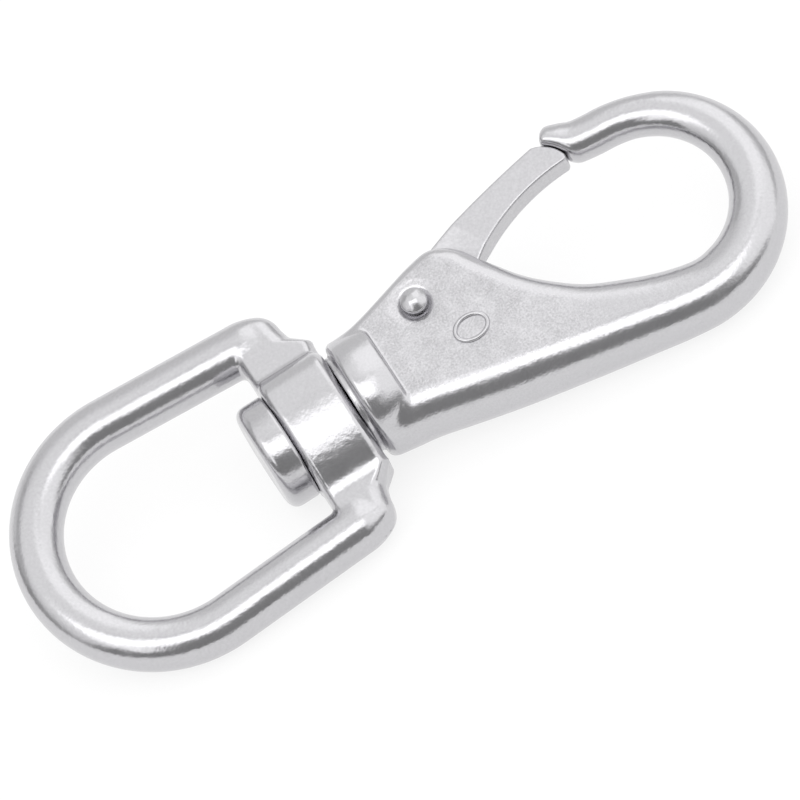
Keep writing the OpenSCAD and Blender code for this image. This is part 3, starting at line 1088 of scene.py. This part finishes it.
# The table and the light round it
studio = {
    "floorHalf": 3.0,       # metres
    "floorGlow": 0.80,
    "floorWhite": 0.22,
    "base": 0.84,
    # lights and dark cloths round the object, in degrees from the camera's own
    # direction: middle (right, up), half size, soft edge, turn, strength
    "cloths": [
        ("ceiling", (2, 30), (64, 44), 30, 0, 1.10),
        ("upper right", (42, 48), (26, 40), 18, 0, 1.42),
        ("room in front", (-6, -34), (68, 30), 8, 0, 0.30),
        ("side window", (56, 4), (32, 28), 24, 0, 1.27),
        ("right wall", (102, 10), (20, 60), 12, 0, 0.66),
        ("room at left", (-60, -56), (38, 30), 20, 0, 0.28),
        ("key", (-9, 15), (34, 14), 6, -11, 2.0),
        ("beam", (10, 33), (26, 2), 4, -5, 0.85),
        ("key's skirt", (-33, -4), (8, 13), 9, 0, 1.5),
        ("left wall", (-91, 24), (14, 48), 14, 0, 0.40),
        ("upper left", (-56, 72), (10, 34), 14, -45, 0.60),
    ],
}

# The camera, in the hook's own directions
view = {
    "aim": (5.28, -1.68, 0.0),
    "towards": (-0.047, -0.400, 0.915),   # from the object to the camera
    "turnDeg": 32.16,
    "distance": 2389.0,
    "lens": 1422.0,
    "sensor": 36,
}


def makeFloor():
    s = studio["floorHalf"]
    mesh = bpy.data.meshes.new("table")
    mesh.from_pydata([(-s, -s, 0), (s, -s, 0), (s, s, 0), (-s, s, 0)], [], [(0, 1, 2, 3)])
    table = bpy.data.objects.new("table", mesh)
    bpy.context.scene.collection.objects.link(table)
    mat = bpy.data.materials.new("paleTable")
    mat.use_nodes = True
    tree = mat.node_tree
    bsdf = tree.nodes["Principled BSDF"]
    bsdf.inputs["Base Color"].default_value = (studio["floorWhite"],) * 3 + (1,)
    bsdf.inputs["Roughness"].default_value = 0.9
    bsdf.inputs["Specular IOR Level"].default_value = 0.0
    bsdf.inputs["Emission Color"].default_value = (1, 1, 1, 1)
    # it glows only to the camera and in the metal
    path = tree.nodes.new("ShaderNodeLightPath")
    seen = mathNode(tree, "MAXIMUM", path.outputs["Is Camera Ray"], path.outputs["Is Glossy Ray"])
    glow = mathNode(tree, "MULTIPLY", seen, studio["floorGlow"])
    tree.links.new(glow, bsdf.inputs["Emission Strength"])
    table.data.materials.append(mat)


def sightLines():
    # right, up and back along the line of sight, before the camera's own turn
    back = Vector(view["towards"]).normalized()
    right = turn @ (Vector((1, 0, 0)) - back * back.x).normalized()
    back = turn @ back
    return right, back.cross(right), back


def clothCover(tree, sheet, middle, half, soft, tilt):
    # one on a cloth and nought off it
    local = tree.nodes.new("ShaderNodeMapping")
    local.vector_type = "TEXTURE"
    local.inputs["Location"].default_value = (*middle, 0)
    local.inputs["Rotation"].default_value = (0, 0, math.radians(tilt))
    tree.links.new(sheet.outputs["Vector"], local.inputs["Vector"])
    axes = tree.nodes.new("ShaderNodeSeparateXYZ")
    tree.links.new(local.outputs["Vector"], axes.inputs["Vector"])
    covers = []
    for axis, size in zip("XY", half):
        out = mathNode(tree, "ABSOLUTE", axes.outputs[axis])
        covers.append(rangeNode(tree, out, size + soft / 2, size - soft / 2, kind="SMOOTHSTEP"))
    return mathNode(tree, "MULTIPLY", *covers)


def makeWorld():
    world = bpy.data.worlds.new("softStudio")
    bpy.context.scene.world = world
    world.use_nodes = True
    tree = world.node_tree
    coords = tree.nodes.new("ShaderNodeTexCoord")
    rightOf, upOf, backOf = (dotNode(tree, coords.outputs["Generated"], d) for d in sightLines())
    # a direction laid out flat: degrees right and up from the camera's direction
    angle = mathNode(tree, "ARCCOSINE", backOf)
    spread = mathNode(tree, "DEGREES", mathNode(tree, "DIVIDE", angle, mathNode(tree, "SINE", angle)))
    sheet = tree.nodes.new("ShaderNodeCombineXYZ")
    tree.links.new(mathNode(tree, "MULTIPLY", rightOf, spread), sheet.inputs["X"])
    tree.links.new(mathNode(tree, "MULTIPLY", upOf, spread), sheet.inputs["Y"])
    light = studio["base"]
    for name, middle, half, soft, tilt, strength in studio["cloths"]:
        cover = clothCover(tree, sheet, middle, half, soft, tilt)
        cover.node.label = name
        light = mixNode(tree, "FLOAT", cover, light, strength)
    # behind the table the camera sees plain white
    path = tree.nodes.new("ShaderNodeLightPath")
    light = mixNode(tree, "FLOAT", path.outputs["Is Camera Ray"], light, 1.0)
    background = tree.nodes["Background"]
    background.inputs["Color"].default_value = (1, 1, 1, 1)
    tree.links.new(light, background.inputs["Strength"])


def makeCamera():
    right0, up0, back = sightLines()
    c, s = cosSin(view["turnDeg"])
    right = right0 * c - up0 * s
    up = right0 * s + up0 * c
    data = bpy.data.cameras.new("camera")
    data.lens = view["lens"]
    data.sensor_width = view["sensor"]
    data.clip_start = 0.05
    camera = bpy.data.objects.new("camera", data)
    at = toRow(*view["aim"]) + back * view["distance"] / 1000
    camera.matrix_world = Matrix.Translation(at) @ Matrix((right, up, back)).transposed().to_4x4()
    bpy.context.scene.collection.objects.link(camera)
    bpy.context.scene.camera = camera


makeFloor()
makeWorld()
makeCamera()
bpy.context.scene.view_settings.view_transform = "Standard"
print("studio ready")
